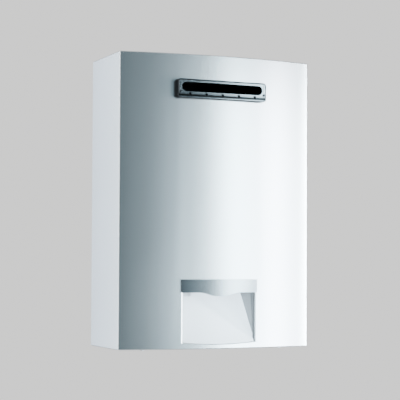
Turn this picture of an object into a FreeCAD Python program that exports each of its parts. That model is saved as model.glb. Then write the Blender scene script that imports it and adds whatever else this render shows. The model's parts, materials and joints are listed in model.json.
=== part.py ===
import FreeCAD, Part
import math
import os

# Wall-hung outdoor gas water heater, in millimetres.
# X points right and Z up for a person who stands in front. The wall is the plane Y = 0,
# the front faces -Y, and the origin is the middle of the four wall fixings.

V = FreeCAD.Vector
AXIS_X = V(1, 0, 0)
AXIS_Y = V(0, 1, 0)
AXIS_Z = V(0, 0, 1)

# Casing
casing_width = 410.0
casing_height = 580.0
casing_side_depth = 162.0
front_bulge = 20.0
casing_corner_radius = 3.0
cover_sheet = 1.0
wall_gap = 2.0
cover_clearance = 0.8
seat_gap = 0.3
cover_flange_side = 18.0
cover_flange_front = 26.0
cover_screw_inset = 57.0
cover_screw_radius = 2.0
cover_screw_head = 8.0
cover_screw_head_height = 2.5
cover_screw_length = 9.0

# Chassis sheet metal
panel_sheet = 1.0
panel_flange = 22.0
panel_rib_width = 24.0
panel_rib_depth = 3.0
floor_recess = 28.0
floor_sheet = 1.0
floor_depth = 150.0
floor_lip = 12.0
floor_upstand = 20.0

# Wall rails
rail_depth = 6.0
rail_sheet = 1.5
rail_side_margin = 20.0
rail_web = 40.0
rail_foot = 15.0
wall_hole_side_margin = 40.0
wall_hole_end_margin = 40.0
wall_hole_radius = 3.5
wall_window_width = 40.0
wall_window_height = 24.0

# Scoop window in the cover and the scoop behind it
scoop_side_margin = 128.4
scoop_sill = 8.0
scoop_run_per_rise = 0.711
scoop_slope_height = 110.0
scoop_height = 127.1
scoop_lip_radius = 4.0
scoop_flange_top = 21.0
scoop_flange_bottom = 5.5
scoop_wall = 2.0
scoop_rim_width = 8.0
scoop_rim_depth = 5.0
intake_slot_width = 3.4
intake_slot_pitch = 7.0
intake_slot_count = 16

# Trim bar over the scoop
bar_height = 25.6
bar_side_overlap = 4.6
bar_proud = 4.0
bar_thickness = 6.5
bar_above_scoop_top = 1.3
bar_chin_drop = 7.0
bar_chin_inset = 30.0
bar_chin_flat = 5.0
bar_boss_inset = 14.0
bar_boss_radius = 3.5
bar_boss_length = 11.0
bar_screw_radius = 1.4

# Flue terminal
terminal_width = 188.0
terminal_height = 34.8
terminal_below_top = 52.2
terminal_proud = 11.0
terminal_sheet = 1.2
terminal_rim_depth = 3.0
terminal_corner_radius = 4.5
terminal_edge = 1.2
terminal_panel_side = 4.5
terminal_panel_top = 1.8
terminal_panel_step = 0.6
terminal_ledge_height = 5.5
terminal_ledge_step = 2.0
flue_slot_side = 7.0
flue_slot_height = 18.8
flue_slot_below_terminal_top = 14.2
flue_throat_depth = 42.0
drain_notch_radius = 2.2
drain_notch_pitch = 35.0
drain_notch_count = 5
terminal_screw_inset = 4.2
terminal_screw_height = 11.7
terminal_screw_radius = 1.5
terminal_screw_head = 0.9
gasket_overhang = 1.5
flue_window_gap = 1.4

# Combustion column, from the burner box up to the flue collector
column_width = 236.0
column_depth = 100.0
column_back = 38.0
column_foot = -75.0
burner_box_height = 75.0
exchanger_height = 75.0
collector_height = 58.0
collector_foot_below_slot = 38.6
collector_shoulder = 20.0
column_sheet = 1.0
column_corner_steps = 4
spout_side_gap = 4.8
spout_height_gap = 4.9
spout_gap = 3.7

# Burners
burner_count = 12
burner_pitch = 18.0
burner_top_width = 10.0
burner_foot_width = 5.0
burner_height = 50.0
burner_below_rim = 6.0
burner_port_width = 2.4
burner_port_depth = 3.0
injector_slot_height = 12.0
manifold_height = 16.0
manifold_depth = 11.0
manifold_gap = 4.0
manifold_overhang = 18.0
injector_across = 7.0
injector_length = 5.0

# Heat exchanger and its wound tube
water_tube_radius = 6.5
tube_gap = 0.7
coil_turns = 1
coil_corner_radius = 20.0
coil_start_above_chamber = 24.0
coil_climb_per_turn = 27.0
exchanger_tube_count = 3
exchanger_tube_pitch = 31.0
exchanger_tube_radius = 10.0
fin_count = 20
fin_gap = 7.0
fin_spine = 26.0
cap_depth = 9.0
cap_margin = 1.2

# Fan
fan_centre_z = -140.0
fan_back = 42.0
fan_width = 52.0
fan_sheet = 1.0
impeller_radius = 50.0
impeller_width = 40.0
impeller_eye_radius = 40.0
impeller_ring = 1.2
impeller_side_gap = 3.0
blade_count = 24
wheel_sides = 32
blade_sheet = 1.0
blade_sweep = 14.0
hub_radius = 9.0
hub_length = 22.0
shaft_radius = 4.0
shaft_fit = 0.05
volute_start = 55.0
volute_growth = 3.5
volute_steps = 18
outlet_width = 50.0
inlet_radius = 36.0
inlet_lip = 2.0
fan_cover_sheet = 1.2
motor_radius = 33.0
motor_length = 27.0
motor_flange_radius = 40.0
motor_flange_sheet = 2.0

# Gas side
gas_beside_hot = 57.0
gas_y = -73.0
gas_body_width = 70.0
gas_body_depth = 46.0
gas_body_height = 78.0
gas_body_lift = 23.0
gas_neck_radius = 12.0
solenoid_side = 26.0
solenoid_length = 34.0
solenoid_offset_x = 15.0
solenoid_low = 20.0
modulator_side = 34.0
modulator_high = 58.0
plunger_radius = 4.95
plunger_fit = 0.05
plunger_length = 26.0
plunger_seat_depth = 6.0
solenoid_travel = 3.0
gas_tube_radius = 6.5
gas_bend_radius = 15.0
gas_tube_forward = 45.0

# Water side
pipe_thread_radius = 10.48
pipe_stub_drop = 26.0
pipe_relief_radius = 9.4
pipe_relief_below_floor = 2.0
fitting_flange_side = 40.0
fitting_flange_sheet = 4.0
fitting_seal = 1.5
floor_hole_clearance = 1.0
hot_side_gap = 35.0
fitting_half_width = 15.0
fitting_height = 30.0
drain_offset = 34.0
drain_shaft_radius = 7.0
drain_shaft_length = 16.0
drain_head_radius = 11.0
drain_head_height = 12.0
drain_grip_height = 8.0
plug_washer_sheet = 1.5
drain_grip_sheet = 4.0
drain_hole_radius = 12.5
strainer_radius = 5.0
strainer_length = 12.0
valve_height = 36.0
valve_passage = 4.5
spool_radius = 6.0
spool_length = 24.0
spool_stem_radius = 2.5
spool_stem_length = 10.0
stepper_radius = 14.0
stepper_length = 22.0
sensor_height = 34.0
sensor_radius = 14.0
sensor_bore = 9.5
sensor_bore_depth = 27.0
turbine_radius = 8.8
turbine_height = 12.0
turbine_lift = 8.0
turbine_hub_radius = 3.5
turbine_blade_count = 5
turbine_blade_sheet = 1.2
turbine_axle_radius = 1.5
union_across = 24.0
union_height = 14.0
thermistor_width = 10.0
thermistor_depth = 9.0
thermistor_height = 16.0
thermistor_above_union = 90.0
thermostat_radius = 9.0
thermostat_depth = 7.0
thermostat_x = -70.0
thermostat_tab_width = 4.0
thermostat_tab_length = 6.0
thermostat_tab_sheet = 1.0

# Electric side
control_coil_gap = 4.3
control_side_gap = 9.0
control_depth = 86.0
control_height = 196.0
control_wall = 2.0
control_lid_sheet = 2.0
control_back = 62.0
control_centre_z = 5.0
board_sheet = 1.6
board_margin = 5.0
board_post = 3.0
board_standoff = 8.0
# centre across and up, half width, half height and depth of each component, as shares of the board's
# half width, its half height and the tray's depth
board_components = [
    (0.0, -0.66, 0.76, 0.18, 0.35),
    (-0.52, -0.28, 0.28, 0.11, 0.19),
    (0.32, -0.28, 0.32, 0.11, 0.19),
    (-0.56, 0.0, 0.24, 0.065, 0.26),
    (0.16, 0.04, 0.24, 0.065, 0.26),
    (-0.32, 0.34, 0.44, 0.085, 0.05),
    (0.56, 0.36, 0.16, 0.13, 0.12),
    (-0.56, 0.70, 0.2, 0.1, 0.14),
    (0.0, 0.70, 0.2, 0.1, 0.14),
    (0.56, 0.70, 0.2, 0.1, 0.14),
]
control_bracket_sheet = 1.5
control_bracket_width = 36.0
control_bracket_foot = 16.0
igniter_width = 36.0
igniter_depth = 45.0
igniter_height = 50.0
igniter_lead_radius = 2.2
igniter_lead_bend = 5.0
igniter_lead_forward_share = 0.234
igniter_lead_step = 4.6
igniter_lead_drop = 14.0
electrode_radius = 4.0
electrode_height = 11.0
electrode_outside_share = 0.3125
electrode_sleeve = 20.0
electrode_wire_radius = 1.2
spark_reach = 16.0
flame_rod_reach = 34.0
gland_x = 60.0
gland_y = -60.0
gland_thread_radius = 8.0
gland_bore_radius = 3.5
gland_across = 22.0
gland_thread_length = 13.0
gland_flange_height = 4.0
gland_cap_height = 11.0

# Brackets that carry the column
bracket_sheet = 1.5
bracket_half_width = 60.0
bracket_foot = 18.0
upper_bracket_height = 50.0
lower_bracket_height = 40.0

# Places worked out from the sizes above
half_width = casing_width / 2
cover_screw_x = half_width - cover_screw_inset
rail_length = casing_width - 2 * rail_side_margin
wall_hole_pitch_x = casing_width - 2 * wall_hole_side_margin
wall_hole_pitch_z = casing_height - 2 * wall_hole_end_margin
scoop_half_width = half_width - scoop_side_margin
bar_half_width = scoop_half_width + bar_side_overlap
bar_chin_half_width = scoop_half_width - bar_chin_inset
bar_boss_x = scoop_half_width - bar_boss_inset
top_z = casing_height / 2
bottom_z = -top_z
corner_y = -(wall_gap + casing_side_depth)
apex_y = corner_y - front_bulge
front_radius = (half_width ** 2 + front_bulge ** 2) / (2 * front_bulge)
front_centre_y = apex_y + front_radius
inner_half_width = half_width - cover_sheet
chassis_half_width = inner_half_width - cover_clearance
panel_front_y = -rail_depth - panel_sheet
floor_z = bottom_z + floor_recess
column_half = column_width / 2
column_back_y = -column_back
column_front_y = column_back_y - column_depth
chamber_z = column_foot + burner_box_height
terminal_z1 = top_z - terminal_below_top
terminal_z0 = terminal_z1 - terminal_height
flue_slot_z = terminal_z1 - flue_slot_below_terminal_top
collector_z = flue_slot_z - collector_foot_below_slot
exchanger_z = collector_z - exchanger_height
coil_x = column_half + tube_gap + water_tube_radius
coil_back_y = column_back_y + tube_gap + water_tube_radius
coil_front_y = column_front_y - tube_gap - water_tube_radius
tube_row_y = [
    (column_back_y + column_front_y) / 2 + (index - (exchanger_tube_count - 1) / 2) * exchanger_tube_pitch
    for index in range(exchanger_tube_count)
]
tube_z = exchanger_z + exchanger_height / 2
outlet_y = tube_row_y[-1]
inlet_y = tube_row_y[0]
cold_x = coil_x
hot_x = hot_side_gap - half_width
gas_x = hot_x + gas_beside_hot
water_y = outlet_y
terminal_y = apex_y - terminal_proud
flue_slot_width = terminal_width - 2 * flue_slot_side
flue_window_width = flue_slot_width + 2 * (terminal_sheet + flue_window_gap)
flue_window_height = flue_slot_height + 2 * (terminal_sheet + flue_window_gap)
spout_half_width = flue_slot_width / 2 + terminal_sheet + spout_side_gap
spout_height = flue_slot_height + 2 * (terminal_sheet + spout_height_gap)
scoop_z0 = bottom_z + scoop_sill
scoop_z1 = scoop_z0 + scoop_height
fan_front_y = -fan_back - fan_width
bar_z1 = scoop_z1 + bar_above_scoop_top
bar_z0 = bar_z1 - bar_height
bar_boss_z = scoop_z1 - seat_gap - scoop_wall - 2.4 * bar_boss_radius
injector_z = chamber_z - burner_below_rim - burner_height + injector_slot_height / 2
flange_z = floor_z + floor_sheet + fitting_seal
plug_head_z = flange_z - seat_gap - plug_washer_sheet
gas_body_z = flange_z + gas_body_lift
gas_front_y = gas_y - gas_body_depth / 2
fitting_top = flange_z + fitting_flange_sheet + fitting_height
valve_top = fitting_top + valve_height
sensor_top = valve_top + sensor_height
control_front_y = -control_back - control_depth
control_x0 = coil_x + water_tube_radius + control_coil_gap
control_x1 = half_width - control_side_gap
control_x = (control_x0 + control_x1) / 2
control_width = control_x1 - control_x0


def box(x0, x1, y0, y1, z0, z1):
    """A block between two corners."""
    return Part.makeBox(x1 - x0, y1 - y0, z1 - z0, V(x0, y0, z0))


def rod(radius, start, direction, length):
    """A round rod that starts at a point."""
    return Part.makeCylinder(radius, length, start, direction)


def polygon(points, path):
    """A closed outline through points, drawn out along a path."""
    wire = Part.makePolygon(points + [points[0]])
    return Part.Face(wire).extrude(path)


def side_prism(outline, x0, x1):
    """A side view outline of (y, z) points, drawn out from x0 to x1."""
    return polygon([V(x0, y, z) for y, z in outline], V(x1 - x0, 0, 0))


def front_prism(outline, y0, y1):
    """A front view outline of (x, z) points, drawn out from y0 to y1."""
    return polygon([V(x, y0, z) for x, z in outline], V(0, y1 - y0, 0))


def hexagon(across, start, axis, length):
    """A hexagonal prism along Y or Z, with its size across the flats."""
    corner = across / math.sqrt(3)
    points = []
    for step in range(6):
        angle = math.radians(60 * step)
        side = V(math.cos(angle) * corner, 0, math.sin(angle) * corner)
        if abs(axis.z) > 0.5:
            side = V(side.x, side.z, 0)
        points.append(start + side)
    return polygon(points, axis * length)


def slot_prism(width, height, centre_z, y0, y1):
    """An oblong with fully rounded ends, in front view, drawn out from y0 to y1."""
    end = height / 2
    run = width / 2 - end
    low = centre_z - end
    high = centre_z + end
    wire = Part.Wire([
        Part.LineSegment(V(-run, y0, low), V(run, y0, low)).toShape(),
        Part.Arc(V(run, y0, low), V(run + end, y0, centre_z), V(run, y0, high)).toShape(),
        Part.LineSegment(V(run, y0, high), V(-run, y0, high)).toShape(),
        Part.Arc(V(-run, y0, high), V(-run - end, y0, centre_z), V(-run, y0, low)).toShape(),
    ])
    return Part.Face(wire).extrude(V(0, y1 - y0, 0))


def front_y(x, inset=0.0):
    """Where the curved front lies, or the surface an inset behind it."""
    return front_centre_y - math.sqrt((front_radius - inset) ** 2 - x ** 2)


def front_arc(x0, x1, inset, z):
    """The line of the curved front between two sides."""
    middle = (x0 + x1) / 2
    return Part.Arc(
        V(x0, front_y(x0, inset), z),
        V(middle, front_y(middle, inset), z),
        V(x1, front_y(x1, inset), z),
    ).toShape()


def front_layer(near, far, x0, x1, z0, z1):
    """A layer that follows the front, from near to far behind it."""
    wire = Part.Wire([
        front_arc(x0, x1, near, z0),
        Part.LineSegment(V(x1, front_y(x1, near), z0), V(x1, front_y(x1, far), z0)).toShape(),
        front_arc(x1, x0, far, z0),
        Part.LineSegment(V(x0, front_y(x0, far), z0), V(x0, front_y(x0, near), z0)).toShape(),
    ])
    return Part.Face(wire).extrude(V(0, 0, z1 - z0))


def casing_block(inset, back_y, radius):
    """The casing's outer form, or the form an inset inside it, with or without rounded edges."""
    side = half_width - inset
    z0 = bottom_z + inset
    z1 = top_z - inset
    corner = front_y(side, inset)
    wire = Part.Wire([
        front_arc(-side, side, inset, z0),
        Part.LineSegment(V(side, corner, z0), V(side, back_y, z0)).toShape(),
        Part.LineSegment(V(side, back_y, z0), V(-side, back_y, z0)).toShape(),
        Part.LineSegment(V(-side, back_y, z0), V(-side, corner, z0)).toShape(),
    ])
    block = Part.Face(wire).extrude(V(0, 0, z1 - z0))
    if radius == 0:
        return block
    front_edges = [edge for edge in upright_edges(block) if edge.BoundBox.YMin < back_y - 1]
    block = block.makeFillet(radius, front_edges)
    rims = [edge for edge in block.Edges
            if abs(edge.BoundBox.ZMax - edge.BoundBox.ZMin) < 0.01 and edge.BoundBox.YMin < back_y - 1]
    return block.makeChamfer(radius / 2, rims)


def upright_edges(shape):
    """The edges of a block that stand along Z."""
    return [edge for edge in shape.Edges if abs(edge.tangentAt(edge.FirstParameter).z) > 0.9]


def ring_points(centre, way, radius, sides):
    """The corners of a polygon square to a direction, with its flats at the radius."""
    across = way.cross(AXIS_Z)
    if across.Length < 0.1:
        across = way.cross(AXIS_X)
    across.normalize()
    up = across.cross(way)
    turn = 2 * math.pi / sides
    corner = radius / math.cos(turn / 2)
    points = []
    for step in range(sides):
        angle = turn * (step + 0.5)
        points.append(centre + across * (corner * math.cos(angle)) + up * (corner * math.sin(angle)))
    return points


def faceted_rod(radius, start, direction, length, sides=12):
    """A rod or a hole with flat sides, for small hidden pieces."""
    way = V(direction).normalize()
    return polygon(ring_points(start, way, radius, sides), way * length)


def tube(points, radius, bend, sides=8, steps=4):
    """A tube with flat sides along straight runs, and a few short chords in each bend."""
    way = (points[1] - points[0]).normalize()
    ring = ring_points(points[0], way, radius, sides)
    rings = [ring]
    here = points[0]
    for before, corner, after in zip(points, points[1:], points[2:]):
        come = (corner - before).normalize()
        go = (after - corner).normalize()
        turn = come.getAngle(go)
        reach = bend * math.tan(turn / 2)
        axis = come.cross(go).normalize()
        arc_start = corner - come * reach
        centre = arc_start + axis.cross(come) * bend
        ring = [point + arc_start - here for point in ring]
        rings.append(ring)
        step_turn = FreeCAD.Rotation(axis, math.degrees(turn / steps))
        for step in range(steps):
            ring = [centre + step_turn.multVec(point - centre) for point in ring]
            rings.append(ring)
        here = corner + go * reach
    rings.append([point + points[-1] - here for point in ring])
    faces = [flat_face(rings[0]), flat_face(rings[-1])]
    for near, far in zip(rings, rings[1:]):
        for side in range(sides):
            after = (side + 1) % sides
            faces.append(flat_face([near[side], near[after], far[after], far[side]]))
    return Part.Solid(Part.Shell(faces))


def flat_face(points):
    """A flat face between points."""
    return Part.Face(Part.makePolygon(points + [points[0]]))


def mirrored(shape):
    """The same shape on the other side of the middle plane."""
    return shape.mirror(V(0, 0, 0), AXIS_X)


def joined(shapes):
    """One solid made of touching or overlapping shapes."""
    whole = shapes[0].fuse(shapes[1:])
    return whole.removeSplitter()


def group(shapes):
    """Like pieces that share one node and stay separate solids."""
    return Part.makeCompound(shapes)


# Casing

def window_lip():
    """The rolled side edge of the scoop window, with its flange, on the right."""
    centre_x = scoop_half_width + scoop_lip_radius
    hub = front_radius - scoop_lip_radius
    centre_y = front_y(centre_x, scoop_lip_radius)
    lip_lean = math.asin(centre_x / hub)
    lip_inner = scoop_lip_radius - cover_sheet
    outer_x = centre_x + 2 * scoop_lip_radius
    far_y = centre_y + scoop_flange_top

    def on_front(radius, lean):
        return V(radius * math.sin(lean), front_centre_y - radius * math.cos(lean), scoop_z0)

    def on_roll(radius, lean):
        return V(centre_x + radius * math.sin(lean), centre_y - radius * math.cos(lean), scoop_z0)

    outer_lean = math.asin(outer_x / front_radius)
    middle_lean = (outer_lean + lip_lean) / 2
    roll_lean = (lip_lean - math.pi / 2) / 2
    inner_radius = front_radius - cover_sheet
    edge = scoop_half_width + cover_sheet
    corners = [
        V(scoop_half_width, centre_y, scoop_z0),
        V(scoop_half_width, far_y, scoop_z0),
        V(edge, far_y, scoop_z0),
        V(edge, centre_y, scoop_z0),
    ]
    wire = Part.Wire([
        Part.Arc(on_front(front_radius, outer_lean), on_front(front_radius, middle_lean),
                 on_front(front_radius, lip_lean)).toShape(),
        Part.Arc(on_front(front_radius, lip_lean), on_roll(scoop_lip_radius, roll_lean),
                 corners[0]).toShape(),
        Part.LineSegment(corners[0], corners[1]).toShape(),
        Part.LineSegment(corners[1], corners[2]).toShape(),
        Part.LineSegment(corners[2], corners[3]).toShape(),
        Part.Arc(corners[3], on_roll(lip_inner, roll_lean), on_front(inner_radius, lip_lean)).toShape(),
        Part.Arc(on_front(inner_radius, lip_lean), on_front(inner_radius, middle_lean),
                 on_front(inner_radius, outer_lean)).toShape(),
        Part.LineSegment(on_front(inner_radius, outer_lean), on_front(front_radius, outer_lean)).toShape(),
    ])
    return Part.Face(wire).extrude(V(0, 0, scoop_height))


def window_hole():
    """The part of the front sheet that the window takes up: it ends where the slope meets the front."""
    reach = 2.0
    outer_x = scoop_half_width + 3 * scoop_lip_radius
    lean = math.asin(outer_x / front_radius)
    near = front_radius + reach
    far = front_radius - cover_sheet - reach

    def at(radius, angle):
        return V(radius * math.sin(angle), front_centre_y - radius * math.cos(angle), scoop_z0)

    wire = Part.Wire([
        Part.Arc(at(near, -lean), at(near, 0), at(near, lean)).toShape(),
        Part.LineSegment(at(near, lean), at(far, lean)).toShape(),
        Part.Arc(at(far, lean), at(far, 0), at(far, -lean)).toShape(),
        Part.LineSegment(at(far, -lean), at(near, -lean)).toShape(),
    ])
    hole = Part.Face(wire).extrude(V(0, 0, scoop_height))
    ahead = apex_y - scoop_height
    rear = scoop_depth_at(scoop_height)
    over_slope = side_prism([(ahead, scoop_z0 - scoop_height / scoop_run_per_rise), (rear, scoop_z1),
                             (ahead, scoop_z1)], -half_width, half_width)
    return hole.common(over_slope)


def flange_line(margin):
    """The (y, z) line along the rear edge of the window's flange, and some margin behind it."""
    at_edge = front_y(scoop_half_width)
    return [
        (at_edge + scoop_flange_bottom + margin, scoop_z0),
        (at_edge + scoop_flange_top + margin, scoop_z1),
    ]


def behind_flange(margin, x0, x1):
    """All the space behind the window's flange."""
    low, high = flange_line(margin)
    rear = column_front_y + casing_side_depth
    return side_prism([low, high, (rear, scoop_z1), (rear, scoop_z0)], x0, x1)


def cover_screw_places():
    """The cover's screws, under the front edge."""
    middle_y = -floor_depth + floor_lip / 2
    return [V(x, middle_y, bottom_z) for x in (-cover_screw_x, cover_screw_x)]


def make_front_cover():
    """The white hood: curved front, both sides, top and a narrow flange below."""
    cover = casing_block(0.0, -wall_gap, casing_corner_radius)
    cavity_back = wall_gap
    cover = cover.cut(casing_block(cover_sheet, cavity_back, 0.0))
    flange_x = half_width - cover_flange_side
    flange_y = corner_y + cover_flange_front
    cover = cover.cut(box(-flange_x, flange_x, flange_y, cavity_back,
                          bottom_z - 1, bottom_z + 2 * cover_sheet))
    cover = cover.cut(window_hole())
    lip = window_lip().cut(behind_flange(0.0, scoop_half_width - 1, scoop_half_width + 2 * cover_sheet))
    cover = joined([cover, lip, mirrored(lip)])
    window = slot_prism(flue_window_width, flue_window_height, flue_slot_z, apex_y - 1, corner_y + 5)
    cover = cover.cut(window)
    for place in cover_screw_places():
        half = cover_screw_radius + seat_gap
        cover = cover.cut(box(place.x - half, place.x + half, place.y - half, flange_y + 1,
                              bottom_z - 1, bottom_z + 2 * cover_sheet))
    return cover


def make_cover_screws():
    """Hexagon screws that hold the cover's lower flange to the chassis floor."""
    screws = []
    for place in cover_screw_places():
        head = hexagon(cover_screw_head, place - AXIS_Z * cover_screw_head_height, AXIS_Z,
                       cover_screw_head_height)
        shank = faceted_rod(cover_screw_radius, place, AXIS_Z, cover_screw_length)
        screws.append(joined([head, shank]))
    return group(screws)


def make_back_panel():
    """The chassis back: a shallow pan with stiffening ribs and windows to the wall screws."""
    side = chassis_half_width
    high = top_z - cover_sheet - cover_clearance
    low = bottom_z + cover_sheet + cover_clearance
    back = -rail_depth
    front = back - panel_flange
    pan = box(-side, side, front, back, low, high)
    hollow = box(-side + panel_sheet, side - panel_sheet, front - 1, back - panel_sheet, low - 1,
                 high - panel_sheet)
    pan = pan.cut(hollow)
    for x in (-wall_hole_pitch_x / 2, wall_hole_pitch_x / 2):
        for z in (-wall_hole_pitch_z / 2, wall_hole_pitch_z / 2):
            pan = pan.cut(box(x - wall_window_width / 2, x + wall_window_width / 2, back - 2 * panel_sheet,
                              back + 1, z - wall_window_height / 2, z + wall_window_height / 2))
    rib_span = wall_hole_pitch_z - wall_window_height - 2 * panel_rib_width
    ribs = []
    grooves = []
    for x in (-wall_hole_pitch_x / 2, wall_hole_pitch_x / 2):
        ribs.append(panel_rib(x, rib_span, panel_rib_width, back, panel_rib_depth))
        grooves.append(panel_rib(x, rib_span - 2 * panel_sheet, panel_rib_width - 2 * panel_sheet,
                                 back, panel_rib_depth - panel_sheet))
    pan = joined([pan] + ribs)
    for groove in grooves:
        pan = pan.cut(groove)
    return pan


def panel_rib(x, height, width, back, depth):
    """A long tapered rib, pressed forward out of the back panel."""
    step = depth + panel_sheet
    half = width / 2
    outline = [
        V(x - half, back, 0),
        V(x + half, back, 0),
        V(x + half - step, back - step, 0),
        V(x - half + step, back - step, 0),
    ]
    rib = polygon([point - AXIS_Z * (height / 2) for point in outline], AXIS_Z * height)
    return rib


def make_wall_rail(centre_z):
    """A hat-shaped rail between the chassis and the wall."""
    web = rail_web / 2
    foot = web + rail_foot
    sheet = rail_sheet
    outline = [
        (-rail_depth, -foot), (-rail_depth, -web + sheet), (-sheet, -web + sheet),
        (-sheet, web - sheet), (-rail_depth, web - sheet), (-rail_depth, foot),
        (-rail_depth + sheet, foot), (-rail_depth + sheet, web), (0, web), (0, -web),
        (-rail_depth + sheet, -web), (-rail_depth + sheet, -foot),
    ]
    placed = [(y, z + centre_z) for y, z in outline]
    rail = side_prism(placed, -rail_length / 2, rail_length / 2)
    for x in (-wall_hole_pitch_x / 2, wall_hole_pitch_x / 2):
        rail = rail.cut(rod(wall_hole_radius, V(x, -rail_depth, centre_z), AXIS_Y, rail_depth + 1))
    return rail


def make_bottom_plate():
    """The chassis floor, recessed in the cover, with a skirt and a lip for the cover's screws."""
    side = chassis_half_width - panel_sheet - 2 * seat_gap
    front = -floor_depth
    back = panel_front_y
    low = bottom_z + cover_sheet + seat_gap
    plate = box(-side, side, front, back, low, floor_z + floor_sheet)
    hollow = box(-side + floor_sheet, side - floor_sheet, front + floor_sheet, back + 1, low - 1, floor_z)
    plate = plate.cut(hollow)
    lip = box(-side, side, front, front + floor_lip, low, low + floor_sheet)
    upstand = box(-side, side, back - floor_sheet, back, floor_z, floor_z + floor_upstand)
    plate = joined([plate, lip, upstand])
    for place in cover_screw_places():
        plate = plate.cut(faceted_rod(cover_screw_radius + shaft_fit, place, AXIS_Z, floor_recess / 2))
    for x, y in water_places():
        hole = floor_hole(x, y, drain_hole_radius).fuse(floor_hole(x, y - drain_offset, drain_hole_radius))
        between = box(x - drain_hole_radius, x + drain_hole_radius, y - drain_offset, y, floor_z - 1,
                      floor_z + floor_sheet + 1)
        plate = plate.cut(hole.fuse(between))
    plate = plate.cut(floor_hole(gas_x, gas_y, pipe_thread_radius + floor_hole_clearance))
    plate = plate.cut(floor_hole(gland_x, gland_y, gland_thread_radius + seat_gap))
    return plate


def floor_hole(x, y, radius):
    """A drill through the chassis floor."""
    return faceted_rod(radius, V(x, y, floor_z - 1), AXIS_Z, floor_sheet + 2, 16)


def water_places():
    """Where the cold and the hot water connections stand."""
    return [(cold_x, water_y), (hot_x, water_y)]


# Scoop, trim bar and flue terminal

def scoop_depth_at(height):
    """How far the scoop's slope lies behind the front at some height over the sill."""
    return apex_y + height * scoop_run_per_rise


def scoop_outlines():
    """Side outlines of the scoop's hollow and of its body, one wall outside it."""
    lean = math.hypot(1, scoop_run_per_rise)
    wall = scoop_wall
    shift = wall * lean
    slope_y = scoop_depth_at(scoop_slope_height)
    slope_z = scoop_z0 + scoop_slope_height
    roof = scoop_z1 - seat_gap - wall
    reach = 12.0
    ahead = apex_y - reach
    below = scoop_z0 - reach / scoop_run_per_rise
    corner_z = slope_z + (wall - shift) / scoop_run_per_rise
    hollow = [(ahead, below), (slope_y, slope_z), (slope_y, roof), (ahead, roof)]
    body = [
        (ahead, below), (ahead + shift, below), (slope_y + wall, corner_z),
        (slope_y + wall, roof + wall), (ahead, roof + wall),
    ]
    return hollow, body


def make_air_scoop():
    """The white scoop behind the window: a slope, side walls, a slotted roof and a rim."""
    hollow, body = scoop_outlines()
    narrow = scoop_half_width - seat_gap
    wide = scoop_half_width + cover_sheet + seat_gap
    outer = wide + scoop_wall
    roll_rear = scoop_lip_radius + seat_gap
    scoop = side_prism(body, -narrow, narrow)
    rear = side_prism(body, -outer, outer).common(behind_flange(seat_gap, -outer, outer))
    scoop = scoop.fuse(rear).cut(side_prism(hollow, -wide, wide))
    # the floor carries on the sheared lower edge of the cover's window, behind the sheet
    scoop = scoop.common(front_layer(cover_sheet + seat_gap, casing_side_depth, -outer, outer,
                                     scoop_z0 - scoop_rim_width, scoop_z1))
    # the rim lies behind the front sheet, outside the window's rolled edges
    clear_x = scoop_half_width + scoop_lip_radius + 2 * seat_gap
    rim_x = clear_x + scoop_rim_width
    near = cover_sheet + seat_gap
    rim_top = scoop_z1 + scoop_rim_width
    side_rim = front_layer(near, near + scoop_rim_depth, clear_x, rim_x, scoop_z0, rim_top)
    web = front_layer(roll_rear, near + scoop_rim_depth, wide, rim_x, scoop_z0, rim_top)
    cheek_back = near + scoop_rim_depth + scoop_flange_top
    cheek = front_layer(roll_rear, cheek_back, wide, outer, scoop_z0, scoop_z1 - seat_gap)
    cheek = cheek.common(side_prism(body, wide, outer))
    top_rim = front_layer(near, near + scoop_rim_depth, -rim_x, rim_x, scoop_z1 + seat_gap, rim_top)
    top_web = front_layer(near + scoop_rim_depth - scoop_wall, near + scoop_rim_depth, -narrow, narrow,
                          scoop_z1 - seat_gap - scoop_wall, rim_top)
    right = [side_rim, web, cheek]
    left = [mirrored(shape) for shape in right]
    scoop = joined([scoop, top_rim, top_web] + right + left)
    # room for the trim bar, and air slots through the roof behind it
    roof = scoop_z1 - seat_gap - scoop_wall
    bar_rear = bar_thickness - bar_proud + seat_gap
    scoop = scoop.cut(front_layer(-bar_proud, bar_rear, -outer, outer, roof - 1, scoop_z1))
    slot_y0 = front_y(0, near + scoop_rim_depth) + 2 * scoop_wall
    slot_y1 = scoop_depth_at(scoop_slope_height) - scoop_wall
    slots = []
    for index in range(intake_slot_count):
        x = (index - (intake_slot_count - 1) / 2) * intake_slot_pitch
        slots.append(box(x - intake_slot_width / 2, x + intake_slot_width / 2, slot_y0, slot_y1,
                         roof - 1, roof + scoop_wall + 1))
    scoop = scoop.cut(slots)
    # tabs under the roof that carry the trim bar's screws
    tab_near = bar_thickness - bar_proud + bar_boss_length + seat_gap
    tabs = []
    for side in (-1, 1):
        x = side * bar_boss_x
        tab = front_layer(tab_near, tab_near + scoop_wall, x - 2 * bar_boss_radius,
                          x + 2 * bar_boss_radius, bar_boss_z - 2 * bar_boss_radius, roof)
        hole = faceted_rod(bar_screw_radius + shaft_fit, V(x, apex_y, bar_boss_z), AXIS_Y,
                           casing_side_depth / 2)
        tabs.append(tab.cut(hole))
    return joined([scoop] + tabs)


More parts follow.
